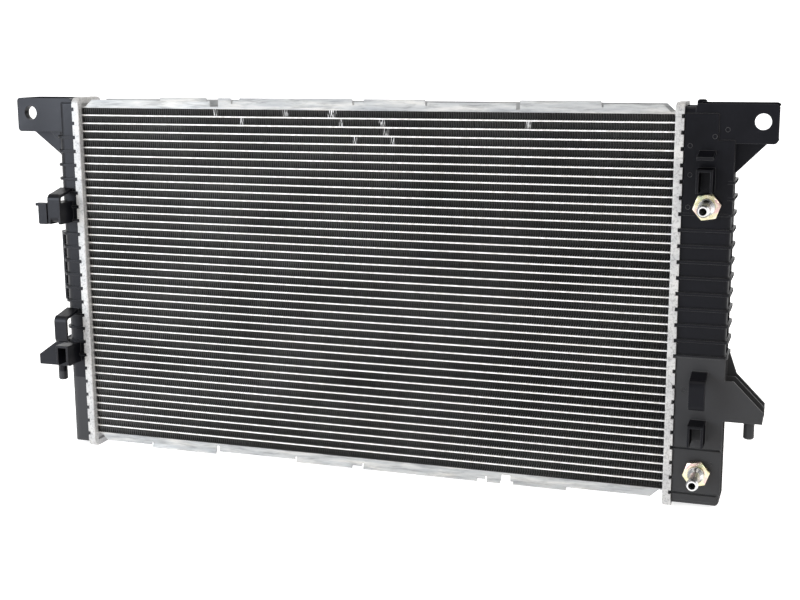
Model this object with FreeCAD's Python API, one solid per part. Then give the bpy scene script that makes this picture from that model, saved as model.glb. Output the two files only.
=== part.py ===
import FreeCAD, Part
import os
from math import cos, pi, sin
from FreeCAD import Vector

# Cross-flow car radiator: brazed aluminium core, two crimped-on plastic tanks, oil cooler
# inside the outlet tank.
#
# Axes: +X to the outlet tank, +Y to the engine, +Z up. The origin is under the middle of the
# radiator, at the height of the headers' lower ends.
# Tanks and headers are drawn once in a side frame: x is the distance outwards from the header's
# core face. place() puts them on the right, or mirrors them onto the left.

os.makedirs("parts", exist_ok=True)

# ---- driving dimensions, mm ----
CORE_WIDTH = 800.0
TUBE_COUNT = 41
TUBE_PITCH = 11.0
TUBE_HEIGHT = 2.0
TUBE_DEPTH = 41.0
TUBE_WALL = 0.4
TUBE_END = 8.0                  # tube end beyond the header's core face
CORE_RAISED = 3.0               # core middle above the headers' middle
FIN_DEPTH = 40.0
FIN_END_GAP = 0.5

HEADER_LENGTH = 494.0
HEADER_DEPTH = 60.0
HEADER_CORNER = 10.0
HEADER_HEIGHT = 10.5            # core face to the crimped edge
HEADER_SHEET = 1.6
GUTTER_WIDTH = 8.5              # outer edge of the header to the recessed web
WEB_AT = 4.0                    # core face of the recessed web
LIP_REACH = 4.6                 # crimped lip, inwards from the outer edge

GASKET_THICKNESS = 2.4
FOOT_INSET = 1.8
WALL_INSET = 4.9
RIB_INSET = 1.9
TANK_WALL = 3.0
RIB_PROUD = 3.0
RIB_THICKNESS = 3.4
RIB_PITCH = 19.1
RIB_TOP = 440.0                 # height of the highest rib on the inlet tank
OUTLET_RIBS = (4, 13)           # first and last full rib of the outlet tank
OUTLET_SEAM = 19                # mould seams of the outlet tank, counted in rib pitches
OUTLET_GROOVE = 22
OUTLET_PANEL_TOP = 451.0        # top of the wide upper panel
CORNER_PANEL_X = 50.0           # outer edge of the narrow panel beside the ear
CORNER_PANEL_Z = (440.0, 481.5)
STRAP_RIBS = (7, 12)            # ribs joined by the inlet tank's strap
STRAP_Y = (-9.0, -3.5)
NOTCH_WIDTH = 4.9
NOTCH_DEPTH = 3.1

PLATE_SHEET = 1.5
FLANGE_HEIGHT = 11.0
LIP_RISE = 3.5
LIP_LEAN = 2.0

INLET_TANK_WIDTH = 40.0
INLET_CORNER = 14.0
OUTLET_TANK_WIDTH = 68.0
OUTLET_CORNER = 7.0
INLET_EAR_REACH = 101.0
OUTLET_EAR_REACH = 116.5
EAR_TOP = 493.0
EAR_BOTTOM = 447.0
EAR_WALL = 3.0
EAR_BACK = 22.0
EAR_SIDE_DEPTH = 13.0           # depth of the ear's outer side; open behind it
INLET_EAR_FRONT = -24.0
OUTLET_EAR_FRONT = -25.4
INLET_EAR_BOSS = 10.0           # length of the hole in the inlet tank's ear
INLET_EAR_VENT = (57.0, 5.0)    # small hole through the top of the inlet tank's ear
EAR_VENT_RADIUS = 2.2
EAR_HOLE_RADIUS = 9.5
EAR_HOLE_Z = 472.5
INLET_EAR_HOLE_X = 80.0
OUTLET_EAR_HOLE_X = 99.0

HOSE_REACH = 82.0               # hose barbs to the front, hose necks to the back
CLIP_WIDTH = 19.0
CLIP_REACH = 58.0
CLIP_WALL = 4.0
CLIP_DROOP = 6.0                # fall of the hook's arm from the tank to its front end
CLIP_BEND = 6.0                 # radius of the hook's bends, to the middle of its wall

# each clip: inner side, top of the arm, length of the hanging leg, socket bottom and top
INLET_CLIPS = ((19.5, 370.5, 40.0, (323.0, 352.0)), (19.5, 200.5, 39.0, (124.0, 152.0)))
OUTLET_CLIPS = ((29.0, 439.5, 0.0, (391.0, 419.0)), (30.0, 175.5, 38.0, (87.0, 114.0)))
CATCH_Z = (323.0, 352.0)
CATCH_X = (40.0, 57.0)

PIN_RADIUS = 6.5
PIN_BOTTOM = 88.0
INLET_BRACKET = {"tip": 88.0, "bottom": 115.0, "rise": 40.0, "pin": 67.0}
OUTLET_BRACKET = {"tip": 114.5, "bottom": 114.5, "rise": 50.0, "pin": 98.0}
BRACKET_PLATE = 3.0
BRACKET_TIP_HEIGHT = 14.5

NECK_RADIUS = 18.0
NECK_BORE = 15.0
INLET_NECK = (36.0, 458.0)      # side-frame x and z
OUTLET_NECK = (40.0, 135.0)
NIPPLE_RADIUS = 5.0
SHROUD_BOSS_X = 20.0
SHROUD_BOSS_HEIGHTS = (105.0, 335.0)
SHROUD_HOLE_RADIUS = 2.6
NIPPLE_Z = RIB_TOP - 2.5 * RIB_PITCH

COOLER_X = 40.5
COOLER_Y = 4.0
COOLER_RADIUS = 15.0
FITTING_HEIGHTS = {"lower": 48.0, "upper": 373.5}
FITTING_RADIUS = 9.8
FITTING_BORE = 5.0
FITTING_SEAT_RADIUS = 17.2
BARB_RADIUS = 6.35
BARB_BORE = 4.3

DRAIN_X = 24.0
DRAIN_Z = 45.0
DRAIN_STEM_RADIUS = 6.0
DRAIN_BOSS_FACE = 38.0
DRAIN_SPIGOT_Y = 31.0
DRAIN_SPIGOT_BOTTOM = 20.0
DRAIN_SPIGOT_LENGTH = 12.0
RUNNING_CLEARANCE = 0.05
TURNING_GAP = 0.3

# ---- derived places ----
LEFT_FACE = -(CORE_WIDTH + OUTLET_EAR_REACH - INLET_EAR_REACH) / 2
RIGHT_FACE = LEFT_FACE + CORE_WIDTH
CORE_BOTTOM = (HEADER_LENGTH - (TUBE_COUNT + 1) * TUBE_PITCH) / 2 + CORE_RAISED
PLATE_FACE = CORE_BOTTOM + (TUBE_COUNT + 1) * TUBE_PITCH - TUBE_HEIGHT / 2
CORE_MIDDLE = CORE_BOTTOM + (TUBE_COUNT + 1) * TUBE_PITCH / 2
LIP_AT = HEADER_HEIGHT - HEADER_SHEET
FOOT_AT = HEADER_SHEET + GASKET_THICKNESS
WALL_FRONT = HEADER_DEPTH / 2 - WALL_INSET
RIB_FRONT = HEADER_DEPTH / 2 - RIB_INSET
PANEL_FRONT = RIB_FRONT - 0.3
EPS = 0.01


# ---- basic shapes ----
def box(x, y, z):
    """A box between the low and high ends given for each axis."""
    return Part.makeBox(x[1] - x[0], y[1] - y[0], z[1] - z[0], Vector(x[0], y[0], z[0]))


def bar(x, y, z, axis, radius):
    """A box whose four edges along one axis are rounded."""
    shape = box(x, y, z)
    direction = {"x": Vector(1, 0, 0), "y": Vector(0, 1, 0), "z": Vector(0, 0, 1)}[axis]
    edges = [e for e in shape.Edges if abs(e.tangentAt(0).dot(direction)) > 0.9]
    return shape.makeFillet(radius, edges)


def soft_box(x, y, z, radius):
    """A box with every edge rounded."""
    shape = box(x, y, z)
    return shape.makeFillet(radius, shape.Edges)


def rod_y(radius, x, z, y):
    return Part.makeCylinder(radius, y[1] - y[0], Vector(x, y[0], z), Vector(0, 1, 0))


def rod_z(radius, x, y, z):
    return Part.makeCylinder(radius, z[1] - z[0], Vector(x, y, z[0]), Vector(0, 0, 1))


def plate_xz(points, y):
    """A flat plate of polygon outline in X and Z, between two values of Y."""
    ring = [Vector(px, y[0], pz) for px, pz in points]
    return Part.Face(Part.makePolygon(ring + ring[:1])).extrude(Vector(0, y[1] - y[0], 0))


def turned_y(profile, x, z):
    """A solid of revolution about a line along Y; profile is (radius, y) points."""
    ring = [Vector(x + r, y, z) for r, y in profile]
    face = Part.Face(Part.makePolygon(ring + ring[:1]))
    return face.revolve(Vector(x, 0, z), Vector(0, 1, 0), 360)


def join(shapes):
    return shapes[0].multiFuse(shapes[1:]).removeSplitter()


def place(shape, side):
    """Move a shape from the side frame to the right-hand or left-hand end of the core."""
    moved = shape.copy()
    if side == "left":
        moved = moved.mirror(Vector(0, 0, 0), Vector(1, 0, 0))
    moved.translate(Vector(LEFT_FACE if side == "left" else RIGHT_FACE, 0, 0))
    return moved


def save(name, shape):
    shape.exportStep("parts/%s.step" % name)


def rib_height(index):
    return RIB_TOP - index * RIB_PITCH


# ---- core: tubes, fins, side plates ----
def tube_section(length_from, length_to, inset, y, radius):
    half = TUBE_HEIGHT / 2 - inset
    return bar((length_from, length_to), y, (-half, half), "x", radius)


def tube_heights():
    return [CORE_BOTTOM + TUBE_PITCH * (i + 1) for i in range(TUBE_COUNT)]


def copies_up(shape, heights):
    result = []
    for height in heights:
        copy = shape.copy()
        copy.translate(Vector(0, 0, height))
        result.append(copy)
    return result


def tube_outside(x_from, x_to):
    half = TUBE_DEPTH / 2
    return tube_section(x_from, x_to, 0.0, (-half, half), TUBE_HEIGHT / 2 - 0.02)


def coolant_tubes():
    """Flat tubes, each with a centre wall and so two channels."""
    start, end = LEFT_FACE - TUBE_END, RIGHT_FACE + TUBE_END
    half = TUBE_DEPTH / 2
    tube = tube_outside(start, end)
    for y in ((-half + TUBE_WALL, -TUBE_WALL / 2), (TUBE_WALL / 2, half - TUBE_WALL)):
        tube = tube.cut(tube_section(start - 1, end + 1, TUBE_WALL, y, 0.3))
    return Part.makeCompound(copies_up(tube, tube_heights()))


def fin_strips():
    """One strip in each gap: the envelope of its folds, brazed to the tubes above and below."""
    half = FIN_DEPTH / 2
    strip = box((LEFT_FACE + FIN_END_GAP, RIGHT_FACE - FIN_END_GAP), (-half, half),
                (TUBE_HEIGHT / 2, TUBE_PITCH - TUBE_HEIGHT / 2))
    heights = [CORE_BOTTOM + TUBE_PITCH * i for i in range(TUBE_COUNT + 1)]
    return Part.makeCompound(copies_up(strip, heights))


def side_plate():
    """Top side plate: a channel with bent lips, expansion notches and open slots."""
    lips = ((121, 190), (207, 225), (238, 395), (411, 492), (613, 712))
    slots = ((194, 206), (608, 612.5))
    notches = ((225, 227.5), (395, 397.5), (492, 494.5), (712, 714.5))
    half = TUBE_DEPTH / 2
    top = PLATE_FACE + FLANGE_HEIGHT
    base = box((LEFT_FACE - WEB_AT, RIGHT_FACE + WEB_AT), (-half, half),
               (PLATE_FACE, PLATE_FACE + PLATE_SHEET))
    flange = ((LEFT_FACE + 3.5, PLATE_FACE), (LEFT_FACE + 15.5, top),
              (RIGHT_FACE - 15.5, top), (RIGHT_FACE - 3.5, PLATE_FACE))
    front = plate_xz(flange, (-half, -half + PLATE_SHEET))
    back = plate_xz(flange, (half - PLATE_SHEET, half))
    pieces = [base, front, back]
    for start, end in lips:
        pieces.append(bent_lip(LEFT_FACE + start, LEFT_FACE + end, -half, top))
    cuts = [box((LEFT_FACE + start, LEFT_FACE + end), (-half - 5, -half + PLATE_SHEET + 0.2),
                (PLATE_FACE + PLATE_SHEET + 1.5, top + 6)) for start, end in slots]
    cuts += [box((LEFT_FACE + start, LEFT_FACE + end), (-half - 5, -half + PLATE_SHEET + 0.2),
                 (top - 4, top + 6)) for start, end in notches]
    return join(pieces).cut(Part.makeCompound(cuts))


def bent_lip(start, end, face, top):
    """A stretch of flange whose free edge leans forward."""
    ring = [Vector(start, face, top - 2.0),
            Vector(start, face - LIP_LEAN, top + LIP_RISE - 1.0),
            Vector(start, face - LIP_LEAN + 0.5, top + LIP_RISE),
            Vector(start, face - LIP_LEAN + PLATE_SHEET, top + LIP_RISE - 0.2),
            Vector(start, face + PLATE_SHEET, top - 2.0)]
    return Part.Face(Part.makePolygon(ring + ring[:1])).extrude(Vector(end - start, 0, 0))


# ---- headers and gaskets ----
def outline(inset, x):
    """The header's rounded outline, moved inwards and given a thickness along X."""
    half = HEADER_DEPTH / 2 - inset
    return bar(x, (-half, half), (inset, HEADER_LENGTH - inset), "x",
               max(HEADER_CORNER - inset, 1.5))


def header():
    """A tray with a gasket gutter all round, a recessed slotted web and a notched lip."""
    tray = outline(0, (0, HEADER_HEIGHT))
    rim = [e for e in tray.Edges if all(abs(v.X) < EPS for v in e.Vertexes)]
    tray = tray.makeFillet(1.4, rim)
    tray = tray.cut(outline(GUTTER_WIDTH, (-1, WEB_AT)))
    hollow = outline(HEADER_SHEET, (HEADER_SHEET, LIP_AT))
    island = outline(GUTTER_WIDTH - HEADER_SHEET, (0, WEB_AT + HEADER_SHEET))
    tray = tray.cut(hollow.cut(island)).cut(outline(LIP_REACH, (LIP_AT - 1, HEADER_HEIGHT + 1)))
    slots = copies_up(tube_outside(WEB_AT - 2, TUBE_END), tube_heights())
    return tray.cut(Part.makeCompound(slots + header_notches()))


def header_notches():
    """Gaps between the crimp tabs, along both sides and both ends."""
    x = (HEADER_HEIGHT - NOTCH_DEPTH, HEADER_HEIGHT + 1)
    half_width = NOTCH_WIDTH / 2
    edge = HEADER_DEPTH / 2
    cuts = []
    for index in range(-2, 23):
        z = (rib_height(index) - half_width, rib_height(index) + half_width)
        cuts.append(box(x, (-edge - 1, -edge + LIP_REACH + 1), z))
        cuts.append(box(x, (edge - LIP_REACH - 1, edge + 1), z))
    for y_middle in (-11.0, 11.0):
        y = (y_middle - half_width, y_middle + half_width)
        cuts.append(box(x, y, (-1, LIP_REACH + 1)))
        cuts.append(box(x, y, (HEADER_LENGTH - LIP_REACH - 1, HEADER_LENGTH + 1)))
    return cuts


def gasket():
    ring = outline(HEADER_SHEET, (HEADER_SHEET, FOOT_AT))
    return ring.cut(outline(GUTTER_WIDTH - HEADER_SHEET, (0, FOOT_AT + 1)))


# ---- tanks ----
def tank_block(width, half, corner, z, x_from):
    """A rounded block along Z from x_from to width, with rounded outer edges and ends."""
    reach = (-60.0, width)
    upright = bar(reach, (-half, half), z, "z", corner)
    ends = bar(reach, (-half, half), z, "y", 8.0)
    return upright.common(ends).common(outline(HEADER_DEPTH / 2 - half, (x_from, width + 1)))


def tank_ribs(width, corner, indices):
    ribs = []
    for index in indices:
        middle = rib_height(index)
        z = (middle - RIB_THICKNESS / 2, middle + RIB_THICKNESS / 2)
        rib = bar((-60.0, width + RIB_PROUD), (-RIB_FRONT, RIB_FRONT), z, "z", corner + 2.0)
        ribs.append(rib.common(box((LIP_AT, width + 10), (-40, 40), z)))
    return ribs


def tank_cavity(width, corner):
    """Inside of the tank and, nearer the core, the room for the header's inner wall."""
    low, high = WALL_INSET + TANK_WALL, HEADER_LENGTH - WALL_INSET - TANK_WALL
    inside = tank_block(width - TANK_WALL, WALL_FRONT - TANK_WALL, corner - 2.0,
                        (low, high), WEB_AT)
    return [inside, outline(6.4, (0, WEB_AT + HEADER_SHEET + 0.5))]


def tank_shell(width, corner):
    foot = outline(FOOT_INSET, (FOOT_AT, LIP_AT))
    body = tank_block(width, WALL_FRONT, corner, (WALL_INSET, HEADER_LENGTH - WALL_INSET), LIP_AT)
    return [foot, body]


def plate_yz(points, x):
    """A flat plate of polygon outline in Y and Z, between two values of X."""
    ring = [Vector(x[0], py, pz) for py, pz in points]
    return Part.Face(Part.makePolygon(ring + ring[:1])).extrude(Vector(x[1] - x[0], 0, 0))


def ribbon(path, thickness, x):
    """A strip of constant thickness along a path of (y, z) points, extruded between two x."""
    left, right = [], []
    for index, (y, z) in enumerate(path):
        before = path[max(index - 1, 0)]
        after = path[min(index + 1, len(path) - 1)]
        run = Vector(after[0] - before[0], after[1] - before[1], 0)
        offset = thickness / 2 / run.Length
        left.append((y - run.y * offset, z + run.x * offset))
        right.append((y + run.y * offset, z - run.x * offset))
    return plate_yz(left + right[::-1], x)


def bend(centre, start, end, steps=5):
    """Points on a bend of the hook, between two angles in degrees from +Y towards +Z."""
    angles = [pi / 180 * (start + (end - start) * i / steps) for i in range(steps + 1)]
    return [(centre[0] + CLIP_BEND * cos(a), centre[1] + CLIP_BEND * sin(a)) for a in angles]


def hook(x, root, leg):
    """Arm that falls gently from the tank and, if it has a leg, hangs down and curls back."""
    back = -WALL_FRONT + 1.0
    half = CLIP_WALL / 2
    if leg == 0:
        path = [(back, root - half), (-CLIP_REACH, root - CLIP_DROOP - half)]
    else:
        middle = -CLIP_REACH + half + CLIP_BEND
        top, bottom = root - CLIP_DROOP - half, root - CLIP_DROOP - leg
        path = [(back, root - half)]
        path += bend((middle, top - CLIP_BEND), 80, 180)
        path += bend((middle, bottom + CLIP_BEND + half), 180, 235)
    return ribbon(path, CLIP_WALL, (x, x + CLIP_WIDTH))


def clip(x, root, leg, socket):
    """Hook above a socket open at the front and below."""
    sides = (x, x + CLIP_WIDTH)
    back = -WALL_FRONT + 1.0
    pieces = [hook(x, root, leg)]
    low, high = socket
    for wall_x in (x, x + CLIP_WIDTH - 3.0):
        pieces.append(bar((wall_x, wall_x + 3.0), (-CLIP_REACH, back), (low, high), "x", 2.0))
    pieces.append(bar(sides, (-CLIP_REACH, back), (high - 3.5, high), "x", 1.2))
    pieces.append(box((x + 1, x + CLIP_WIDTH - 1), (back - 5.0, back), (low + 1.5, high - 1)))
    return pieces


def bracket(start, size, plates):
    """Parallel sloping plates on a floor plate, with the lower mounting pin under it.

    plates gives each plate's front face and how much higher its inner end stands.
    """
    tip, bottom, pin_x = size["tip"], size["bottom"], size["pin"]
    shoulder = start + 13.5
    pieces = []
    for y_front, extra in plates:
        top = bottom + size["rise"] + extra
        points = ((start, bottom), (tip, bottom), (tip, bottom + BRACKET_TIP_HEIGHT),
                  (shoulder, top - extra), (shoulder - extra * 0.35, top), (start, top))
        pieces.append(plate_xz(points, (y_front, y_front + BRACKET_PLATE)))
    first, last = plates[0][0], plates[-1][0] + BRACKET_PLATE
    pieces.append(soft_box((start, tip), (first, last), (bottom, bottom + 3.5), 0.8))
    pieces.append(rod_z(PIN_RADIUS + 2.5, pin_x, 0.0, (bottom - 3.0, bottom + 6.0)))
    pin = rod_z(PIN_RADIUS, pin_x, 0.0, (PIN_BOTTOM, bottom + 1.0))
    tip_edge = [e for e in pin.Edges if abs(e.CenterOfMass.z - PIN_BOTTOM) < EPS]
    pieces.append(pin.makeChamfer(1.5, tip_edge))
    return pieces


def ear(start, reach, front, hole_x, body_x):
    """Box open at the back and outer side, with a holed front plate, and a gusset below."""
    z = (EAR_BOTTOM, EAR_TOP)
    x = (start, reach)
    shell = bar(x, (front, EAR_BACK), z, "y", 5.0)
    hollow = bar((start + EAR_WALL, reach - EAR_WALL), (front + EAR_WALL, EAR_BACK + 1),
                 (EAR_BOTTOM + EAR_WALL, EAR_TOP - EAR_WALL), "y", 3.0)
    side = box((reach - EAR_WALL - 1, reach + 1), (front + EAR_SIDE_DEPTH, EAR_BACK + 1),
               (EAR_BOTTOM + EAR_WALL, EAR_TOP - EAR_WALL))
    middle = (front + EAR_BACK) / 2
    gusset = ((body_x - 2, EAR_BOTTOM + 1), (reach - 11, EAR_BOTTOM + 1),
              (body_x - 2, EAR_BOTTOM - 39))
    rib_x = hole_x - 18.0
    return [shell.cut(hollow).cut(side), plate_xz(gusset, (middle - 4.5, middle - 1.5)),
            box((rib_x, rib_x + 2.5), (front + 1, EAR_BACK - 4), z)]


def neck(x, z, start, radius, bore, bead):
    """Hose neck to the back, with a raised bead near its end; returns the neck and its bore."""
    end = HOSE_REACH
    outer = turned_y(((0, start), (radius, start), (radius, end - 8), (bead, end - 6),
                      (bead, end - 4), (radius, end - 1.5), (radius - 0.8, end), (0, end)), x, z)
    return outer, rod_y(bore, x, z, (start - 12, end + 1))


def shroud_bosses():
    """Blind bosses on the back for the fan shroud's screws."""
    face = RIB_FRONT + 6.0
    bosses, holes = [], []
    for z in SHROUD_BOSS_HEIGHTS:
        bosses.append(rod_y(6.5, SHROUD_BOSS_X, z, (WALL_FRONT - 1, face)))
        holes.append(rod_y(SHROUD_HOLE_RADIUS, SHROUD_BOSS_X, z, (face - 9.0, face + 1)))
    return bosses, holes


def inlet_tank():
    """Narrow tank, left: ribbed D-shaped body, ear, inlet neck, two clips, bracket, strap."""
    width, corner = INLET_TANK_WIDTH, INLET_CORNER
    neck_x, neck_z = INLET_NECK
    solid = tank_shell(width, corner) + tank_ribs(width, corner, range(17))
    solid += ear(14.0, INLET_EAR_REACH, INLET_EAR_FRONT, INLET_EAR_HOLE_X, width)
    solid.append(rod_y(EAR_HOLE_RADIUS + 3.5, INLET_EAR_HOLE_X, EAR_HOLE_Z,
                       (INLET_EAR_FRONT + 1, INLET_EAR_FRONT + INLET_EAR_BOSS)))
    solid.append(rod_y(24.0, neck_x, neck_z, (-12.0, 26.0)))
    for size in INLET_CLIPS:
        solid += clip(*size)
    solid += inlet_wiring_catch()
    solid += bracket(width - 2, INLET_BRACKET, ((-25.0, 0.0), (-1.5, 0.0), (17.0, 14.0)))
    solid += inlet_strap(width)
    bosses, holes = shroud_bosses()
    inlet_neck, neck_hole = neck(neck_x, neck_z, 25.0, NECK_RADIUS, NECK_BORE, 19.4)
    nipple = turned_y(((0, 20), (NIPPLE_RADIUS, 20), (NIPPLE_RADIUS, 44), (5.8, 46),
                       (NIPPLE_RADIUS, 50), (0, 50)), SHROUD_BOSS_X, NIPPLE_Z)
    solid += bosses + [inlet_neck, nipple]
    cuts = tank_cavity(width, corner) + holes + [neck_hole]
    cuts.append(rod_y(21.0, neck_x, neck_z, (-9.0, 23.0)))
    cuts.append(rod_y(2.8, SHROUD_BOSS_X, NIPPLE_Z, (18, 51)))
    cuts.append(rod_y(EAR_HOLE_RADIUS, INLET_EAR_HOLE_X, EAR_HOLE_Z, (-30, 0)))
    cuts.append(rod_z(EAR_VENT_RADIUS, *INLET_EAR_VENT, (EAR_TOP - EAR_WALL - 1, EAR_TOP + 1)))
    return join(solid).cut(Part.makeCompound(cuts))


def inlet_wiring_catch():
    """Flanged plate beside the upper hook, running back to the tank."""
    reach = CLIP_REACH + 1.0
    low, high = CATCH_Z
    inner, outer = CATCH_X
    web = (inner, inner + 3.5)
    return [bar((inner, outer - 4.0), (-reach, -reach + 3.0), (low, high - 1.0), "y", 2.0),
            bar(CATCH_X, (-reach, -reach + 7.0), (high - 4.0, high), "y", 1.2),
            box(web, (-reach + 1, -12.0), (low, high - 1.0)),
            box((inner, outer - 6.0), (-reach + 1, -14.0), (low, low + 3.0)),
            box((30.0, inner + 1.0), (-22.0, -12.0), (low, high - 1.0))]


def inlet_strap(width):
    """Strap that joins the tips of six ribs and leaves five windows."""
    first, last = STRAP_RIBS
    low = rib_height(last) - RIB_THICKNESS / 2
    high = rib_height(first) + RIB_THICKNESS / 2
    pieces = [bar((width + 7.0, width + 10.0), STRAP_Y, (low, high), "y", 1.3)]
    for index in range(first, last + 1):
        middle = rib_height(index)
        z = (middle - RIB_THICKNESS / 2, middle + RIB_THICKNESS / 2)
        pieces.append(box((width - 1, width + 8.5), STRAP_Y, z))
    return pieces


def outlet_panels(width):
    """Plain front panels above and below the ribbed stretch, with the gaps between them."""
    y = (-PANEL_FRONT, -WALL_FRONT + 2)
    first, last = (rib_height(index) for index in OUTLET_RIBS)
    seam, groove = rib_height(OUTLET_SEAM), rib_height(OUTLET_GROOVE)
    panels = [rod_y(FITTING_SEAT_RADIUS, COOLER_X, z, y) for z in FITTING_HEIGHTS.values()]
    for z in ((groove + 0.9, seam - 0.9), (seam + 0.9, last), (first, OUTLET_PANEL_TOP)):
        panels.append(soft_box((LIP_AT + 2.0, width + 1.0), y, z, 1.2))
    panels.append(soft_box((LIP_AT + 2.0, width - 3.0), y, (10.0, groove - 0.9), 1.2))
    panels.append(soft_box((LIP_AT + 2.0, CORNER_PANEL_X), y, CORNER_PANEL_Z, 1.2))
    return panels


def outlet_tank():
    """Wide tank, right: holds the oil cooler; ear, outlet neck, two clips, bracket, drain."""
    width, corner = OUTLET_TANK_WIDTH, OUTLET_CORNER
    neck_x, neck_z = OUTLET_NECK
    first, last = OUTLET_RIBS
    solid = tank_shell(width, corner) + tank_ribs(width, corner, range(first, last + 1))
    solid += side_ribs(width, range(2, first)) + outlet_panels(width)
    solid += ear(23.0, OUTLET_EAR_REACH, OUTLET_EAR_FRONT, OUTLET_EAR_HOLE_X, width)
    solid.append(bar((20.0, 31.0), (17.0, 23.0), (470.0, 496.0), "y", 3.0))
    for size in OUTLET_CLIPS:
        solid += clip(*size)
    solid += bracket(width - 2, OUTLET_BRACKET, ((-27.8, 0.0), (-1.5, 0.0), (17.0, 28.0)))
    bosses, holes = shroud_bosses()
    outlet_neck, neck_hole = neck(neck_x, neck_z, 20.0, NECK_RADIUS, NECK_BORE, 19.4)
    solid += bosses + [outlet_neck, rod_y(22.0, neck_x, neck_z, (20.0, 29.0))]
    solid += [rod_y(11.0, DRAIN_X, DRAIN_Z, (20.0, DRAIN_BOSS_FACE)),
              rod_z(7.0, DRAIN_X, DRAIN_SPIGOT_Y, (DRAIN_SPIGOT_BOTTOM + DRAIN_SPIGOT_LENGTH, DRAIN_Z)),
              rod_z(4.5, DRAIN_X, DRAIN_SPIGOT_Y, (DRAIN_SPIGOT_BOTTOM, DRAIN_Z))]
    cuts = tank_cavity(width, corner) + holes + [neck_hole]
    cuts.append(rod_y(DRAIN_STEM_RADIUS + RUNNING_CLEARANCE, DRAIN_X, DRAIN_Z,
                      (15.0, DRAIN_BOSS_FACE + 1)))
    cuts.append(rod_z(2.5, DRAIN_X, DRAIN_SPIGOT_Y, (DRAIN_SPIGOT_BOTTOM - 1, DRAIN_Z)))
    cuts.append(rod_y(EAR_HOLE_RADIUS, OUTLET_EAR_HOLE_X, EAR_HOLE_Z, (-30, 0)))
    for z in FITTING_HEIGHTS.values():
        cuts.append(rod_y(FITTING_RADIUS + 0.4, COOLER_X, z, (-40, 0)))
        cuts.append(rod_y(FITTING_SEAT_RADIUS, COOLER_X, z, (-40, -PANEL_FRONT)))
    return join(solid).cut(Part.makeCompound(cuts))


def side_ribs(width, indices):
    """Short ribs that wrap only the tank's outer side."""
    ribs = []
    for index in indices:
        middle = rib_height(index)
        z = (middle - RIB_THICKNESS / 2, middle + RIB_THICKNESS / 2)
        ribs.append(bar((width - 8, width + RIB_PROUD), (-RIB_FRONT, RIB_FRONT), z, "z", 3.5))
    return ribs


# ---- oil cooler in the outlet tank ----
def cooler_span():
    return FITTING_HEIGHTS["lower"] - 17.0, FITTING_HEIGHTS["upper"] + 17.0


def cooler_ring(outer, inner, z):
    return rod_z(outer, COOLER_X, COOLER_Y, z).cut(
        rod_z(inner, COOLER_X, COOLER_Y, (z[0] - 1, z[1] + 1)))


def cooler_outer_tube():
    tube = cooler_ring(COOLER_RADIUS, COOLER_RADIUS - 1.3, cooler_span())
    for z in FITTING_HEIGHTS.values():
        tube = tube.cut(rod_y(FITTING_BORE, COOLER_X, z, (COOLER_Y - 20, COOLER_Y)))
    return tube


def cooler_inner_tube():
    return cooler_ring(10.0, 8.7, cooler_span())


def cooler_end_ring(at_top):
    low, high = cooler_span()
    z = (high - 5.0, high) if at_top else (low, low + 5.0)
    return cooler_ring(COOLER_RADIUS - 1.3, 10.0, z)


def cooler_turbulator():
    """Sleeve with radial vanes that stirs the oil between the two tubes."""
    low, high = cooler_span()
    z = (low + 30.0, high - 30.0)
    vanes = [cooler_ring(12.3, 11.7, z)]
    count = 12
    for index in range(count):
        vane = box((10.2, 13.5), (-0.3, 0.3), z)
        vane.rotate(Vector(0, 0, 0), Vector(0, 0, 1), 360.0 * index / count)
        vane.translate(Vector(COOLER_X, COOLER_Y, 0))
        vanes.append(vane)
    return join(vanes)


# ---- oil fittings: brazed stub, seal inside, washer and nut outside, hose barb ----
SEAL_FACE = -(WALL_FRONT - TANK_WALL)
SEAL_THICKNESS = 2.5
STUB_END = -40.0
WASHER_THICKNESS = 1.5
NUT_HEIGHT = 8.0
NUT_ACROSS_FLATS = 29.0
NUT_ANGLE = pi / 9              # how far the nut is turned from standing on a corner
WASHER_RADIUS = 14.0
TANK_FACE = -PANEL_FRONT


def oil_fitting(z):
    flange_at = SEAL_FACE + SEAL_THICKNESS
    stub = join([rod_y(FITTING_RADIUS, COOLER_X, z, (STUB_END, COOLER_Y)),
                 rod_y(13.5, COOLER_X, z, (flange_at, flange_at + 3.5))])
    stub = stub.cut(rod_z(COOLER_RADIUS, COOLER_X, COOLER_Y, (z - 30, z + 30)))
    return stub.cut(rod_y(FITTING_BORE, COOLER_X, z, (STUB_END - 1, COOLER_Y)))


def fitting_seal(z):
    y = (SEAL_FACE, SEAL_FACE + SEAL_THICKNESS)
    return rod_y(13.5, COOLER_X, z, y).cut(rod_y(FITTING_RADIUS, COOLER_X, z, y))


def fitting_washer(z):
    y = (TANK_FACE - WASHER_THICKNESS, TANK_FACE)
    return rod_y(WASHER_RADIUS, COOLER_X, z, y).cut(rod_y(FITTING_RADIUS, COOLER_X, z, y))


def fitting_nut(z):
    """Hexagon nut with both faces chamfered."""
    back = TANK_FACE - WASHER_THICKNESS
    front = back - NUT_HEIGHT
    corner = NUT_ACROSS_FLATS / 2 / cos(pi / 6)
    angles = [NUT_ANGLE + pi / 3 * i for i in range(6)]
    ring = [(COOLER_X + corner * sin(a), z + corner * cos(a)) for a in angles]
    hexagon = plate_xz(ring, (front, back))
    flat = NUT_ACROSS_FLATS / 2
    dome = turned_y(((0, front), (flat - 0.3, front), (corner + 0.1, front + 1.5),
                     (corner + 0.1, back - 1.0), (flat + 0.4, back), (0, back)), COOLER_X, z)
    return hexagon.common(dome).cut(rod_y(FITTING_RADIUS, COOLER_X, z, (front, back)))


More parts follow.
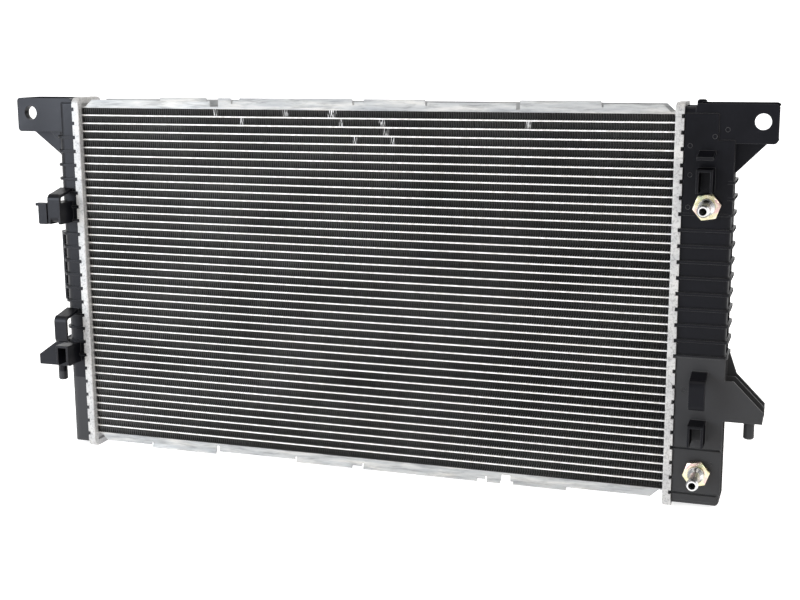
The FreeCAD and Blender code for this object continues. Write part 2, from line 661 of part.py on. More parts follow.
def hose_barb(z):
    """Aluminium hose tail: spigot in the stub, cone, tube with a raised bead near the end."""
    end = -HOSE_REACH
    profile = ((BARB_BORE, STUB_END + 9), (FITTING_BORE, STUB_END + 9), (FITTING_BORE, STUB_END),
               (9.4, STUB_END), (9.4, STUB_END - 1.5), (BARB_RADIUS, STUB_END - 6.5),
               (BARB_RADIUS, end + 8), (BARB_RADIUS + 0.95, end + 6),
               (BARB_RADIUS + 0.95, end + 5), (BARB_RADIUS - 0.1, end + 1),
               (BARB_RADIUS - 0.6, end), (BARB_BORE, end))
    return turned_y(profile, COOLER_X, z)


# ---- drain cock ----
DRAIN_SEAL_AT = (34.4, 36.6)
DRAIN_GROOVE_RADIUS = 4.7


def drain_cock():
    """Hollow stem with a side port and seal groove, and a wing handle outside the boss."""
    face = DRAIN_BOSS_FACE + TURNING_GAP
    stem = rod_y(DRAIN_STEM_RADIUS, DRAIN_X, DRAIN_Z, (21.5, face + 1))
    head = turned_y(((0, face), (9.0, face), (10.0, face + 1), (10.0, face + 3.5),
                     (8.5, face + 5), (0, face + 5)), DRAIN_X, DRAIN_Z)
    wing = soft_box((DRAIN_X - 15, DRAIN_X + 15), (face + 3, face + 16),
                    (DRAIN_Z - 2.5, DRAIN_Z + 2.5), 2.0)
    groove = rod_y(DRAIN_STEM_RADIUS + 1, DRAIN_X, DRAIN_Z, DRAIN_SEAL_AT).cut(
        rod_y(DRAIN_GROOVE_RADIUS, DRAIN_X, DRAIN_Z, DRAIN_SEAL_AT))
    cuts = [groove, rod_y(3.0, DRAIN_X, DRAIN_Z, (20, DRAIN_SPIGOT_Y + 2)),
            rod_z(2.2, DRAIN_X, DRAIN_SPIGOT_Y, (30, DRAIN_Z))]
    return join([stem, head, wing]).cut(Part.makeCompound(cuts))


def drain_seal():
    ring = rod_y(DRAIN_STEM_RADIUS, DRAIN_X, DRAIN_Z, DRAIN_SEAL_AT)
    return ring.cut(rod_y(DRAIN_GROOVE_RADIUS, DRAIN_X, DRAIN_Z, DRAIN_SEAL_AT))


# ---- write every piece ----
save("coolant_tubes", coolant_tubes())
save("fin_strips", fin_strips())

top_plate = side_plate()
save("top_side_plate", top_plate)
bottom_plate = top_plate.copy()
bottom_plate.rotate(Vector((LEFT_FACE + RIGHT_FACE) / 2, 0, CORE_MIDDLE), Vector(0, 1, 0), 180)
save("bottom_side_plate", bottom_plate)

side_header = header()
side_gasket = gasket()
for side in ("left", "right"):
    save(side + "_header", place(side_header, side))
    save(side + "_gasket", place(side_gasket, side))

save("inlet_tank", place(inlet_tank(), "left"))
save("outlet_tank", place(outlet_tank(), "right"))

save("oil_cooler_outer_tube", place(cooler_outer_tube(), "right"))
save("oil_cooler_inner_tube", place(cooler_inner_tube(), "right"))
save("oil_cooler_turbulator", place(cooler_turbulator(), "right"))
save("oil_cooler_upper_ring", place(cooler_end_ring(True), "right"))
save("oil_cooler_lower_ring", place(cooler_end_ring(False), "right"))

for level, fitting_z in FITTING_HEIGHTS.items():
    save(level + "_oil_fitting", place(oil_fitting(fitting_z), "right"))
    save(level + "_fitting_seal", place(fitting_seal(fitting_z), "right"))
    save(level + "_fitting_washer", place(fitting_washer(fitting_z), "right"))
    save(level + "_fitting_nut", place(fitting_nut(fitting_z), "right"))
    save(level + "_hose_barb", place(hose_barb(fitting_z), "right"))

save("drain_cock", place(drain_cock(), "right"))
save("drain_seal", place(drain_seal(), "right"))
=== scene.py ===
import math
import random

import bpy
from mathutils import Matrix, Vector


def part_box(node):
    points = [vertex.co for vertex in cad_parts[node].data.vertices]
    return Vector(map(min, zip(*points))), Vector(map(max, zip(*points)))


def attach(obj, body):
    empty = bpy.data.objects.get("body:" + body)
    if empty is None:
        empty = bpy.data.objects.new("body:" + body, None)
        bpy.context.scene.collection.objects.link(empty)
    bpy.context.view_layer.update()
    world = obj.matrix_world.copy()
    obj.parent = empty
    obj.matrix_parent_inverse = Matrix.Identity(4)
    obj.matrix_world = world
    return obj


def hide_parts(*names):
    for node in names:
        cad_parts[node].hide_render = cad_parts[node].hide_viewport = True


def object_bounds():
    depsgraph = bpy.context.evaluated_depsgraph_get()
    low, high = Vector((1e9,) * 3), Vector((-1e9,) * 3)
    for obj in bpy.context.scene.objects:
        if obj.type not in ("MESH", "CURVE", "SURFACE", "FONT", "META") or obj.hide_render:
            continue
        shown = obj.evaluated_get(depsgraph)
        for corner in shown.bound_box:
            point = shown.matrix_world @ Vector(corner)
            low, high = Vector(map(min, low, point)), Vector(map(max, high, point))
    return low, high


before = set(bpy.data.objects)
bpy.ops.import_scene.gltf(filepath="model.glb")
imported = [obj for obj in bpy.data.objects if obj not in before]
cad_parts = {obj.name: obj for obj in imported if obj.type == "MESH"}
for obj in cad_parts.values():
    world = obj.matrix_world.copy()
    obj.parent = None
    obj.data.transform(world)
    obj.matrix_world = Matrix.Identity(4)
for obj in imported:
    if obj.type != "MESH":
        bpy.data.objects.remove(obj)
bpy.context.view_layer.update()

# Visual model of the cross-flow radiator, in metres, in the CAD frame.
MM = 0.001

# ---- places read from the frame ----
TUBES_LOW, TUBES_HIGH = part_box("coolant_tubes")
FINS_LOW, FINS_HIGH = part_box("fin_strips")
LEFT_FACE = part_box("left_header")[1].x      # faces of the headers on the core's side
RIGHT_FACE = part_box("right_header")[0].x
# Front wall of the outlet tank, where the oil fittings' washers lie
PANEL_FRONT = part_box("upper_fitting_washer")[1].y

# ---- core layout ----
TUBE_COUNT = 41                             # one more gap than tubes holds fins
TUBE_HEIGHT = 2.0 * MM
TUBE_PITCH = (TUBES_HIGH.z - TUBES_LOW.z - TUBE_HEIGHT) / (TUBE_COUNT - 1)
FIRST_TUBE = TUBES_LOW.z + TUBE_HEIGHT / 2
WEB_RECESS = 4.0 * MM                       # the headers' webs lie this far behind their faces

# ---- fin folds ----
FOLD_LENGTH = 3.1 * MM                      # one full wave along the tube
FIN_SHEET = 0.18 * MM
FIN_CLEAR = 0.06 * MM                       # between a crown and its tube
FIN_END_GAP = 0.2 * MM                      # between a strip's ends and the headers
FIN_SWAY = -1.2 * MM                        # of a strip's middle, along the tube
SWAY_FADE = 20.0 * MM                       # near the headers the sway fades out over this
PAINTED_SHADE_DEPTH = 11.0 * MM                      # painted shade darkens the fins from here inwards
START_SPREAD, BOW_SPREAD, SLANT_SPREAD = 0.08 * MM, 0.22 * MM, 0.16 * MM
CROWN = 0.06                                # half a crown's width, as a share of one fold
CRUSH_DEPTH = 1.2 * MM                      # how far a knocked front edge is pushed in
ROWS_PER_PIECE = 9
# Faces of the fin strips take lit and shaded copies of one sheet: painted shade on the undersides,
# painted light on the upper sides, a painted highlight on the knocked edges.
SHADED_UNDERSIDE, SHEARED_EDGE, LIT_UPPER_SIDE, LIT_KNOCKED_EDGE = range(4)

# Knocked places: share of the core's width, row of fins, number of folds to each side.
BENT_SPOTS = ((0.251, 41, 1.0), (0.299, 40, 0.9), (0.377, 41, 1.3), (0.458, 41, 2.2),
              (0.473, 40, 0.7), (0.497, 38, 0.9), (0.543, 40, 1.3), (0.550, 39, 1.2),
              (0.560, 38, 1.0), (0.779, 40, 1.3))


# ---- mesh helpers ----
def new_object(name, verts, faces, material, smooth=False):
    mesh = bpy.data.meshes.new(name)
    mesh.from_pydata(verts, [], faces)
    mesh.validate()
    mesh.update()
    if smooth:
        mesh.shade_smooth()
    obj = bpy.data.objects.new(name, mesh)
    bpy.context.scene.collection.objects.link(obj)
    obj.data.materials.append(material)
    return obj


def add_piece(name, verts, faces, material, smooth=False):
    obj = new_object(name, verts, faces, material, smooth)
    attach(obj, "radiator")
    return obj


# ---- node helpers ----
class Nodes:
    """A material's node tree with short ways to add and link nodes."""

    def __init__(self, name):
        self.material = bpy.data.materials.new(name)
        self.material.use_nodes = True
        self.tree = self.material.node_tree
        self.shader = self.tree.nodes["Principled BSDF"]
        self.coords = self.tree.nodes.new("ShaderNodeTexCoord").outputs["Object"]

    def link(self, source, target):
        self.tree.links.new(source, target)

    def axis(self, name):
        node = self.tree.nodes.new("ShaderNodeSeparateXYZ")
        self.link(self.coords, node.inputs["Vector"])
        return node.outputs[name]

    def size_of(self, value):
        node = self.tree.nodes.new("ShaderNodeMath")
        node.operation = "ABSOLUTE"
        self.link(value, node.inputs[0])
        return node.outputs["Value"]

    def grazing(self):
        """0 where the surface is seen square on, 1 where it is seen edge on."""
        node = self.tree.nodes.new("ShaderNodeLayerWeight")
        node.inputs["Blend"].default_value = 0.5
        return node.outputs["Facing"]

    def edges(self, radius, sharpest):
        """1 along the part's sharp edges, 0 on its flats; sharpest is the cosine that counts as 1."""
        bevel = self.tree.nodes.new("ShaderNodeBevel")
        bevel.inputs["Radius"].default_value = radius
        geometry = self.tree.nodes.new("ShaderNodeNewGeometry")
        node = self.tree.nodes.new("ShaderNodeVectorMath")
        node.operation = "DOT_PRODUCT"
        self.link(bevel.outputs["Normal"], node.inputs[0])
        self.link(geometry.outputs["Normal"], node.inputs[1])
        return self.span(node.outputs["Value"], 0.985, sharpest, 0.0, 1.0)

    def stretched(self, scale):
        mapping = self.tree.nodes.new("ShaderNodeMapping")
        mapping.inputs["Scale"].default_value = scale
        self.link(self.coords, mapping.inputs["Vector"])
        return mapping.outputs["Vector"]

    def noise(self, scale, detail=4.0, roughness=0.55, vector=None, distortion=0.0):
        node = self.tree.nodes.new("ShaderNodeTexNoise")
        node.inputs["Scale"].default_value = scale
        node.inputs["Detail"].default_value = detail
        node.inputs["Roughness"].default_value = roughness
        node.inputs["Distortion"].default_value = distortion
        self.link(vector or self.coords, node.inputs["Vector"])
        return node.outputs["Fac"]

    def cells(self, scale, vector=None):
        node = self.tree.nodes.new("ShaderNodeTexVoronoi")
        node.inputs["Scale"].default_value = scale
        self.link(vector or self.coords, node.inputs["Vector"])
        return node.outputs["Distance"]

    def ramp(self, value, stops):
        node = self.tree.nodes.new("ShaderNodeValToRGB")
        elements = node.color_ramp.elements
        for index, (place, colour) in enumerate(stops):
            element = elements[index] if index < 2 else elements.new(place)
            element.position = place
            element.color = (*colour, 1.0)
        self.link(value, node.inputs["Fac"])
        return node.outputs["Color"]

    def grey_ramp(self, value, stops):
        return self.ramp(value, [(place, (level,) * 3) for place, level in stops])

    def multiply(self, first, second):
        return self.blend("MULTIPLY", first, second)

    def add(self, first, second):
        return self.blend("ADD", first, second)

    def blend(self, kind, first, second):
        node = self.tree.nodes.new("ShaderNodeMix")
        node.data_type = "RGBA"
        node.blend_type = kind
        node.inputs["Factor"].default_value = 1.0
        self.link(first, node.inputs[6])
        self.link(second, node.inputs[7])
        return node.outputs[2]

    def span(self, value, low, high, new_low, new_high):
        node = self.tree.nodes.new("ShaderNodeMapRange")
        for name, number in (("From Min", low), ("From Max", high),
                             ("To Min", new_low), ("To Max", new_high)):
            node.inputs[name].default_value = number
        self.link(value, node.inputs["Value"])
        return node.outputs["Result"]

    def sum(self, first, second, weight):
        node = self.tree.nodes.new("ShaderNodeMath")
        node.operation = "MULTIPLY_ADD"
        node.inputs[1].default_value = weight
        self.link(second, node.inputs[0])
        self.link(first, node.inputs[2])
        return node.outputs["Value"]

    def bump(self, height, strength, distance, edge_radius=0.0):
        """Fine relief; edge_radius softens the part's sharp edges, so they catch the light."""
        node = self.tree.nodes.new("ShaderNodeBump")
        if edge_radius:
            bevel = self.tree.nodes.new("ShaderNodeBevel")
            bevel.inputs["Radius"].default_value = edge_radius
            self.link(bevel.outputs["Normal"], node.inputs["Normal"])
        node.inputs["Strength"].default_value = strength
        node.inputs["Distance"].default_value = distance
        self.link(height, node.inputs["Height"])
        self.link(node.outputs["Normal"], self.shader.inputs["Normal"])

    def finish(self, colour, roughness, **constants):
        self.link(colour, self.shader.inputs["Base Color"])
        self.link(roughness, self.shader.inputs["Roughness"])
        for name, number in constants.items():
            self.shader.inputs[name.replace("_", " ")].default_value = number
        return self.material


# ---- materials ----
# A ramp's stops are (place, level) pairs. The places sit inside the noise's usual 0.3 to 0.7.
def tube_material():
    """Satin drawn aluminium with a white flux haze in long streaks."""
    n = Nodes("tube_aluminium")
    streaks = n.noise(9.0, 6.0, 0.6, n.stretched((1.0, 8.0, 30.0)))
    haze = n.noise(220.0, 3.0)
    base = n.grey_ramp(streaks, ((0.25, 0.82), (0.75, 0.97)))
    spots = n.ramp(haze, ((0.40, (0.80, 0.79, 0.76)), (0.58, (1.0, 1.0, 1.0))))
    n.bump(n.sum(streaks, haze, 0.4), 0.25, 0.0002)
    return n.finish(n.multiply(base, spots), n.span(haze, 0.3, 0.7, 0.42, 0.6), Metallic=0.35)


def fin_material(name, dark, light, deep, front_only=False):
    """Thin rolled fin stock in lit and shaded copies; deep is how much of its brightness the painted
    shade inside the core leaves.

    front_only keeps the bright stretch to a short way behind the front edge.
    """
    n = Nodes(name)
    patches = n.noise(7.0, 3.0, 0.5, n.stretched((1.0, 1.0, 1.6)))
    grain = n.noise(900.0, 2.0)
    base = n.grey_ramp(patches, ((0.35, dark), (0.65, light)))
    mottle = n.grey_ramp(grain, ((0.3, 0.70), (0.7, 1.0)))
    edge = FINS_HIGH.y
    if front_only:
        nearness = n.span(n.axis("Y"), 1.2 * MM - edge, 2.5 * MM - edge, 1.0, 0.0)
    else:
        nearness = n.span(n.size_of(n.axis("Y")), edge - PAINTED_SHADE_DEPTH, edge, 0.0, 1.0)
    # Painted shade: the fins darken from the front edge into the core, down to deep.
    painted_core_shade = n.grey_ramp(nearness, ((0.0, deep), (1.0, 1.0)))
    n.bump(grain, 0.2, 0.0001)
    colour = n.multiply(n.multiply(base, mottle), painted_core_shade)
    return n.finish(colour, n.span(grain, 0.3, 0.7, 0.45, 0.65), Metallic=0.3)


def header_material():
    """Stamped header: flux-whitened aluminium with grey speckles and rubbed patches."""
    n = Nodes("header_aluminium")
    clouds = n.noise(38.0, 5.0, 0.6)
    specks = n.noise(420.0, 4.0, 0.65)
    pits = n.cells(260.0)
    base = n.ramp(clouds, ((0.30, (0.43, 0.43, 0.44)), (0.70, (0.63, 0.62, 0.605))))
    dirt = n.grey_ramp(specks, ((0.36, 0.58), (0.50, 1.0)))
    dots = n.grey_ramp(pits, ((0.04, 0.45), (0.12, 1.0)))
    colour = n.multiply(n.multiply(base, dirt), dots)
    n.bump(n.sum(specks, clouds, 0.8), 0.35, 0.0003, 0.5 * MM)
    return n.finish(colour, n.span(specks, 0.3, 0.7, 0.42, 0.68), Metallic=0.45)


def plate_material():
    """Rolled side plate: pale sheet, grey to faintly yellow, with scuffs, dents and handling marks."""
    n = Nodes("plate_aluminium")
    long_marks = n.noise(16.0, 5.0, 0.6, n.stretched((1.0, 4.0, 9.0)))
    dents = n.noise(26.0, 2.0, 0.5, n.stretched((1.0, 1.0, 1.4)))
    scratches = n.noise(240.0, 5.0, 0.7, n.stretched((0.12, 1.0, 1.0)), 0.4)
    base = n.ramp(long_marks, ((0.30, (0.33, 0.34, 0.355)), (0.52, (0.455, 0.46, 0.46)),
                               (0.72, (0.62, 0.60, 0.57))))
    scuffs = n.grey_ramp(scratches, ((0.36, 0.66), (0.52, 1.0)))
    n.bump(n.sum(dents, scratches, 0.12), 0.55, 0.0016, 0.4 * MM)
    return n.finish(n.multiply(base, scuffs), n.span(dents, 0.3, 0.7, 0.42, 0.6), Metallic=0.2)


def nylon_material(name, scale=1.0, dusty_below=None, gloss=0.2):
    """Satin moulded black nylon: fine grain, flow marks and handling haze, with a painted highlight
    along the sharp edges.

    dusty_below is the height under which the surface is duller and greyer, except
    on the hooks that stand out in front of the panel.
    """
    n = Nodes(name)
    flow = n.noise(11.0 * scale, 4.0, 0.55, None, 0.6)
    grain = n.noise(1500.0, 3.0, 0.6)
    fibres = n.noise(700.0, 3.0, 0.6, n.stretched((1.0, 1.0, 0.25)))
    base = n.ramp(flow, ((0.32, (0.0016, 0.0017, 0.0026)), (0.68, (0.0050, 0.0051, 0.0075))))
    mottle = n.grey_ramp(fibres, ((0.3, 0.70), (0.7, 1.0)))
    colour = n.multiply(base, mottle)
    roughness = n.span(flow, 0.3, 0.7, 0.26, 0.42)
    if dusty_below is not None:
        height = n.span(n.axis("Z"), dusty_below, dusty_below + 1.0 * MM, 0.0, 1.0)
        dust = n.grey_ramp(height, ((0.0, 0.034), (1.0, 0.0)))
        behind = n.span(n.axis("Y"), PANEL_FRONT - 3.0 * MM, PANEL_FRONT - 1.0 * MM, 0.0, 1.0)
        dust = n.multiply(dust, n.grey_ramp(behind, ((0.0, 0.0), (1.0, 1.0))))
        colour = n.add(colour, dust)
        roughness = n.sum(roughness, n.span(height, 0.0, 1.0, 1.0, 0.0), 0.16)
    waves = n.noise(45.0, 2.0, 0.5)
    n.bump(n.sum(n.sum(grain, fibres, 0.6), waves, 5.0), 0.30, 0.00012, 1.3 * MM)
    sheen = n.span(n.grazing(), 0.72, 0.93, gloss, 0.0)
    n.link(sheen, n.shader.inputs["Specular IOR Level"])
    # Painted highlight: the sharp edges are lightened as if they caught the light.
    painted_edge_highlight = n.grey_ramp(n.edges(1.3 * MM, 0.80), ((0.0, 0.0), (1.0, 0.055)))
    return n.finish(n.add(colour, painted_edge_highlight), roughness, Specular_Tint=(0.91, 0.92, 1.0, 1.0))


def rubber_material():
    """Dull black rubber with a fine grain."""
    n = Nodes("gasket_rubber")
    grain = n.noise(600.0, 3.0)
    base = n.grey_ramp(grain, ((0.3, 0.018), (0.7, 0.034)))
    n.bump(grain, 0.3, 0.0002)
    return n.finish(base, n.span(grain, 0.3, 0.7, 0.60, 0.80))


def cooler_material():
    """Drawn aluminium of the oil cooler, with fine lines along the tube."""
    n = Nodes("cooler_aluminium")
    haze = n.noise(60.0, 5.0, 0.6)
    lines = n.noise(300.0, 3.0, 0.6, n.stretched((1.0, 1.0, 0.08)))
    base = n.grey_ramp(haze, ((0.3, 0.52), (0.7, 0.74)))
    n.bump(lines, 0.3, 0.0002)
    return n.finish(base, n.span(lines, 0.3, 0.7, 0.32, 0.5), Metallic=0.9)


def zinc_material():
    """Yellow-passivated zinc, which drifts from straw to rose and pale green."""
    n = Nodes("yellow_zinc")
    drift = n.noise(70.0, 3.0, 0.5, None, 1.2)
    grain = n.noise(900.0, 3.0)
    base = n.ramp(drift, ((0.34, (0.56, 0.62, 0.42)), (0.45, (0.80, 0.73, 0.46)),
                          (0.55, (0.86, 0.80, 0.62)), (0.66, (0.80, 0.55, 0.53))))
    rub = n.grey_ramp(grain, ((0.3, 0.82), (0.7, 1.0)))
    n.bump(grain, 0.25, 0.00015)
    return n.finish(n.multiply(base, rub), n.span(grain, 0.3, 0.7, 0.20, 0.34), Metallic=1.0)


def barb_material():
    """Turned aluminium: fine rings along the bore axis and a few bright wear marks."""
    n = Nodes("barb_aluminium")
    rings = n.noise(900.0, 3.0, 0.6, n.stretched((0.03, 1.0, 0.03)))
    wear = n.noise(120.0, 4.0)
    base = n.grey_ramp(wear, ((0.35, 0.72), (0.65, 0.92)))
    n.bump(rings, 0.3, 0.00015)
    return n.finish(base, n.span(rings, 0.3, 0.7, 0.22, 0.36), Metallic=1.0)


TUBE = tube_material()
# One fin sheet in lit and shaded copies: painted shade on the undersides, painted light on the upper
# sides, a painted highlight on the crushed front edges.
FIN_SIDES = (fin_material("fin_shaded_undersides", 0.008, 0.016, 0.2),
             fin_material("fin_sheared_edges", 0.06, 0.11, 1.0),
             fin_material("fin_lit_upper_sides", 0.20, 0.36, 0.05),
             fin_material("fin_lit_knocked_edges", 0.65, 0.95, 0.02, True))
HEADER = header_material()
PLATE = plate_material()
INLET_NYLON = nylon_material("inlet_nylon", 1.0, 100 * MM, 0.25)
OUTLET_NYLON = nylon_material("outlet_nylon", 1.0, 191 * MM, 0.17)
RUBBED_NYLON = nylon_material("rubbed_nylon", 2.0, 1.0)
RUBBER = rubber_material()
COOLER = cooler_material()
ZINC = zinc_material()
BARB = barb_material()
DRAIN = nylon_material("drain_plastic", 4.0)

CARRIED = {
    "coolant_tubes": TUBE, "top_side_plate": PLATE, "bottom_side_plate": PLATE,
    "left_header": HEADER, "right_header": HEADER, "left_gasket": RUBBER,
    "right_gasket": RUBBER, "inlet_tank": INLET_NYLON, "outlet_tank": OUTLET_NYLON,
    "drain_cock": DRAIN, "drain_seal": RUBBER,
}


def material_for(node):
    if node in CARRIED:
        return CARRIED[node]
    for ending, material in (("_seal", RUBBER), ("_nut", ZINC), ("_washer", ZINC),
                             ("_barb", BARB)):
        if node.endswith(ending):
            return material
    return COOLER


for node_name, node_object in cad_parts.items():
    node_object.data.materials.clear()
    node_object.data.materials.append(material_for(node_name))


# ---- folded fins ----
def fold_line(rng, length):
    """Centre line of one strip: legs with a slight bow, joined by flat crowns at the tubes."""
    points = []
    count = int(length / FOLD_LENGTH)
    pitch = length / count
    for index in range(count):
        start = index * pitch + rng.uniform(-START_SPREAD, START_SPREAD)
        bow = rng.uniform(-BOW_SPREAD, BOW_SPREAD)
        slant = rng.uniform(-SLANT_SPREAD, SLANT_SPREAD)
        points += [(start + CROWN * pitch, 0.0), (start + 0.26 * pitch + bow + slant, 0.5),
                   (start + (0.5 - CROWN) * pitch, 1.0), (start + (0.5 + CROWN) * pitch, 1.0),
                   (start + 0.74 * pitch + bow - slant, 0.5), (start + (1 - CROWN) * pitch, 0.0)]
    return points


def strip_mesh(points, row, verts, faces):
    """A thin closed sheet that follows the fold line, in the gap above tube number row.

    Its middle lies a little to one side, so no straight way leads through the core,
    as the louvres of the real strip allow none.
    """
    low = FIRST_TUBE + (row - 1) * TUBE_PITCH + TUBE_HEIGHT / 2 + FIN_CLEAR
    rise = TUBE_PITCH - TUBE_HEIGHT - 2 * FIN_CLEAR
    x_start = FINS_LOW.x + FIN_END_GAP
    front, back = FINS_LOW.y, FINS_HIGH.y
    first = len(verts)
    last_index = len(points) - 1
    end_along = points[-1][0]
    for index, (along, height) in enumerate(points):
        before = points[max(index - 1, 0)]
        after = points[min(index + 1, last_index)]
        run = Vector((after[0] - before[0], (after[1] - before[1]) * rise)).normalized()
        half = FIN_SHEET / 2
        x, z = x_start + along, low + height * rise
        z = min(max(z, low + half), low + rise - half)
        sway = FIN_SWAY * max(0.0, min(1.0, along / SWAY_FADE, (end_along - along) / SWAY_FADE))
        for side in (half, -half):
            for y, aside in ((front, 0.0), (0.0, sway), (back, 0.0)):
                verts.append((x + aside - run.y * side, y, z + run.x * side))
    for index in range(last_index):
        a = first + 6 * index
        b = a + 6
        faces += [(a, b, b + 1, a + 1), (a + 1, b + 1, b + 2, a + 2),
                  (a + 3, a + 4, b + 4, b + 3), (a + 4, a + 5, b + 5, b + 4),
                  (a, a + 3, b + 3, b), (a + 2, b + 2, b + 5, a + 5)]
    for start, turn in ((first, 1), (first + 6 * last_index, -1)):
        for at in (start, start + 1):
            faces.append((at, at + 1, at + 4, at + 3)[::turn])


def bend_front(verts, first, row, rng):
    """Crush the front edges of a few folds where the core has been knocked."""
    length = FINS_HIGH.x - FINS_LOW.x
    for share, bent_row, folds in BENT_SPOTS:
        if bent_row != row:
            continue
        middle = FINS_LOW.x + share * length
        reach = folds * FOLD_LENGTH
        for index in range(first, len(verts)):
            x, y, z = verts[index]
            if abs(x - middle) < reach and y < 0:
                fade = 1 - abs(x - middle) / reach
                verts[index] = (x + rng.uniform(-0.9, 1.3) * MM * fade, y + CRUSH_DEPTH * fade,
                                z + rng.uniform(-0.6, 0.6) * MM * fade)


def side_of_fin(mesh, polygon):
    """Place in FIN_SIDES of the lit or shaded copy of the fin material for one face of the folded
    strip.
    """
    if any(FINS_LOW.y + 0.1 * MM < mesh.vertices[v].co.y < 0 for v in polygon.vertices):
        return LIT_KNOCKED_EDGE
    if abs(polygon.normal.y) > 0.5:
        return SHEARED_EDGE
    return LIT_UPPER_SIDE if polygon.normal.z > 0.03 else SHADED_UNDERSIDE


def folded_fins():
    """Closed folded strips in every gap of the core, a few rows to a piece."""
    rng = random.Random(7)
    length = FINS_HIGH.x - FINS_LOW.x - 2 * FIN_END_GAP
    rows = range(TUBE_COUNT + 1)
    for start in range(0, len(rows), ROWS_PER_PIECE):
        verts, faces = [], []
        for row in rows[start:start + ROWS_PER_PIECE]:
            first = len(verts)
            strip_mesh(fold_line(rng, length), row, verts, faces)
            bend_front(verts, first, row, rng)
        name = "folded_fins_%d" % (start // ROWS_PER_PIECE + 1)
        piece = add_piece(name, verts, faces, FIN_SIDES[SHADED_UNDERSIDE])
        for material in FIN_SIDES[SHADED_UNDERSIDE + 1:]:
            piece.data.materials.append(material)
        for polygon in piece.data.polygons:
            polygon.material_index = side_of_fin(piece.data, polygon)
        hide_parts("fin_strips")


folded_fins()


# ---- small parts ----
THREAD_PITCH = 0.85 * MM
THREAD_ROOT, THREAD_CREST = 9.6 * MM, 10.15 * MM
THREAD_FLANK = 0.3 * MM

# Ejector marks: from the header's face in X, height, and whether the mark is on the ear.
EJECTOR_MARKS = ((18, 444, False), (19, 410, False), (18, 372, False), (46, 455, False),
                 (60, 463, True), (22, 150, False), (56, 60, False))
EAR_RECESS = 2.4 * MM                       # the ear's face lies this far behind the panel


def lathe(profile, centre, verts, faces, segments=48):
    """Closed ring turned about an axis along Y; profile is a loop of (radius, y)."""
    first = len(verts)
    count = len(profile)
    for index in range(segments):
        angle = 2 * math.pi * index / segments
        for radius, y in profile:
            verts.append((centre[0] + radius * math.cos(angle), y,
                          centre[1] + radius * math.sin(angle)))
    for index in range(segments):
        a, b = first + index * count, first + (index + 1) % segments * count
        for step in range(count):
            after = (step + 1) % count
            faces.append((a + step, a + after, b + after, b + step))


def middle_of(node):
    low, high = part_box(node)
    return (low.x + high.x) / 2, (low.z + high.z) / 2


def thread_rings():
    """Crests of the threads that show between each nut and its hose barb."""
    verts, faces = [], []
    for level in ("upper", "lower"):
        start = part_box(level + "_fitting_nut")[0].y
        for turn in range(3):
            y = start - 0.45 * MM - THREAD_PITCH * turn
            ring = [(THREAD_ROOT, y - THREAD_FLANK), (THREAD_CREST, y),
                    (THREAD_ROOT, y + THREAD_FLANK)]
            lathe(ring, middle_of(level + "_fitting_nut"), verts, faces)
    add_piece("thread_rings", verts, faces, ZINC, True)


def ejector_marks():
    """Faint raised rings that the mould's ejector pins leave on the outlet tank."""
    verts, faces = [], []
    for x, z, on_ear in EJECTOR_MARKS:
        face = PANEL_FRONT + (EAR_RECESS if on_ear else 0)
        ring = [(2.2 * MM, face + 0.05 * MM), (2.4 * MM, face - 0.16 * MM),
                (2.8 * MM, face - 0.16 * MM), (3.0 * MM, face + 0.05 * MM)]
        lathe(ring, (RIGHT_FACE + x * MM, z * MM), verts, faces, 24)
    add_piece("ejector_marks", verts, faces, RUBBED_NYLON, True)


def braze_collar(x, outward, z, verts, faces):
    """Fillet of filler metal round one tube where it enters a header."""
    first = len(verts)
    depth = TUBES_HIGH.y
    for grow, reach in ((1.3 * MM, 0.0), (0.5 * MM, 0.5 * MM), (0.15 * MM, 1.5 * MM)):
        half_z, half_y = TUBE_HEIGHT / 2 + grow, depth + grow
        for sy, sz in ((-1, -0.4), (-1, 0.4), (-0.97, 1), (0.97, 1), (1, 0.4), (1, -0.4),
                       (0.97, -1), (-0.97, -1)):
            verts.append((x + outward * reach, sy * half_y, z + sz * half_z))
    for ring in range(2):
        for step in range(8):
            a, b = first + ring * 8 + step, first + ring * 8 + (step + 1) % 8
            faces.append((a, b, b + 8, a + 8))
    faces.append(tuple(range(first, first + 8)))
    faces.append(tuple(range(first + 16, first + 24)))


def braze_collars(name, x, outward):
    verts, faces = [], []
    for index in range(TUBE_COUNT):
        braze_collar(x, outward, FIRST_TUBE + index * TUBE_PITCH, verts, faces)
    add_piece(name, verts, faces, HEADER, True)


thread_rings()
ejector_marks()
braze_collars("braze_collars_left", LEFT_FACE - WEB_RECESS, 1)
braze_collars("braze_collars_right", RIGHT_FACE + WEB_RECESS, -1)


# ---- camera, floor and light ----
CAMERA_PLACE = (0.572, -1.562, 0.555)
CAMERA_YAW = math.radians(18.72)
CAMERA_PITCH = math.radians(11.0)
CAMERA_ROLL = math.radians(-0.29)
CAMERA_LENS = 57.83


def add_camera():
    data = bpy.data.cameras.new("camera")
    data.lens = CAMERA_LENS
    data.sensor_width = 36.0
    camera = bpy.data.objects.new("camera", data)
    bpy.context.scene.collection.objects.link(camera)
    turn = Matrix.Rotation(CAMERA_YAW, 4, "Z") @ Matrix.Rotation(
        math.pi / 2 - CAMERA_PITCH, 4, "X") @ Matrix.Rotation(CAMERA_ROLL, 4, "Z")
    camera.matrix_world = Matrix.Translation(CAMERA_PLACE) @ turn
    bpy.context.scene.camera = camera


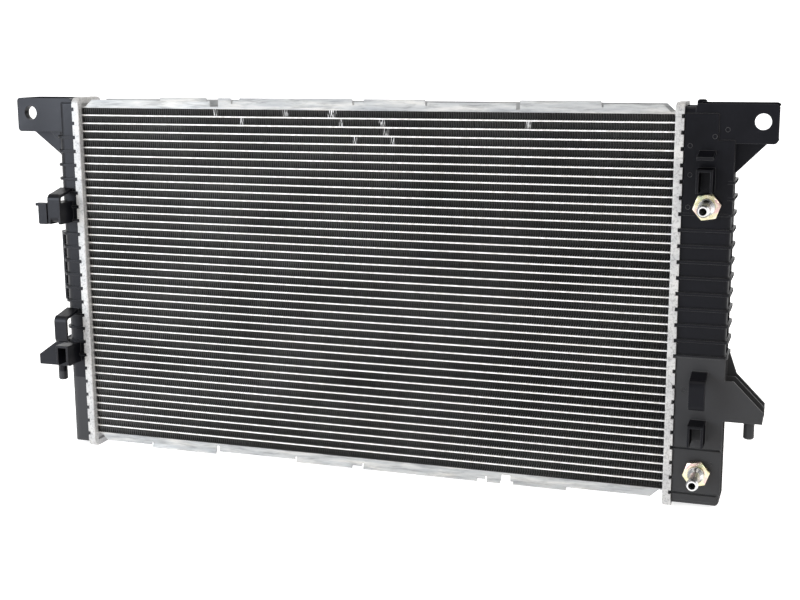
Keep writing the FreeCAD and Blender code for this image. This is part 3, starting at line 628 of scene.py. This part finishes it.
def add_floor():
    """White studio sweep: a floor that curves up into a wall behind the radiator."""
    n = Nodes("pale_floor")
    cloud = n.noise(0.8, 2.0)
    colour = n.grey_ramp(cloud, ((0.3, 0.88), (0.7, 0.90)))
    n.link(colour, n.shader.inputs["Emission Color"])
    material = n.finish(colour, n.span(cloud, 0.3, 0.7, 0.85, 0.9), Emission_Strength=0.85)
    half, wall = 12.0, 5.0          # half width and depth of the floor, height of the wall
    back, curve, steps = 3.0, 1.5, 16   # where the sweep to the wall starts, its radius and steps
    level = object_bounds()[0][2] - 0.0002
    profile = [(-half, level)]
    for index in range(steps + 1):
        angle = math.pi / 2 * index / steps
        profile.append((back + curve * math.sin(angle), level + curve * (1 - math.cos(angle))))
    profile.append((back + curve, level + wall))
    verts = [(x, y, z) for y, z in profile for x in (-half, half)]
    faces = [(2 * i, 2 * i + 1, 2 * i + 3, 2 * i + 2) for i in range(len(profile) - 1)]
    new_object("floor", verts, faces, material, True)


def add_area(name, place, target, size, power, colour=(1.0, 1.0, 1.0)):
    data = bpy.data.lights.new(name, "AREA")
    data.shape = "RECTANGLE"
    data.size, data.size_y = size
    data.energy = power
    data.color = colour
    light = bpy.data.objects.new(name, data)
    light.location = place
    direction = Vector(target) - Vector(place)
    light.rotation_euler = direction.to_track_quat("-Z", "Y").to_euler()
    bpy.context.scene.collection.objects.link(light)


def add_world(strength):
    """Even light from all round; where it is seen directly, it is as white as the floor."""
    bpy.context.scene.view_settings.view_transform = "Standard"
    world = bpy.data.worlds.new("studio")
    world.use_nodes = True
    background = world.node_tree.nodes["Background"]
    background.inputs["Color"].default_value = (1.0, 1.0, 1.0, 1.0)
    seen = world.node_tree.nodes.new("ShaderNodeLightPath").outputs["Is Camera Ray"]
    level = world.node_tree.nodes.new("ShaderNodeMapRange")
    level.inputs["To Min"].default_value = strength
    level.inputs["To Max"].default_value = 1.0
    world.node_tree.links.new(seen, level.inputs["Value"])
    world.node_tree.links.new(level.outputs["Result"], background.inputs["Strength"])
    bpy.context.scene.world = world


add_camera()
add_floor()
add_area("key_light", (-2.1, -2.3, 1.0), (0, 0, 0.25), (1.5, 1.7), 62, (0.88, 0.94, 1.0))
add_area("fill_light", (2.6, -2.6, 1.7), (0.2, 0, 0.25), (1.2, 1.2), 25, (1.0, 0.93, 0.84))
add_area("top_light", (0.0, -0.3, 2.2), (0, 0, 0.2), (2.8, 1.2), 22, (1.0, 0.94, 0.87))
add_world(0.35)
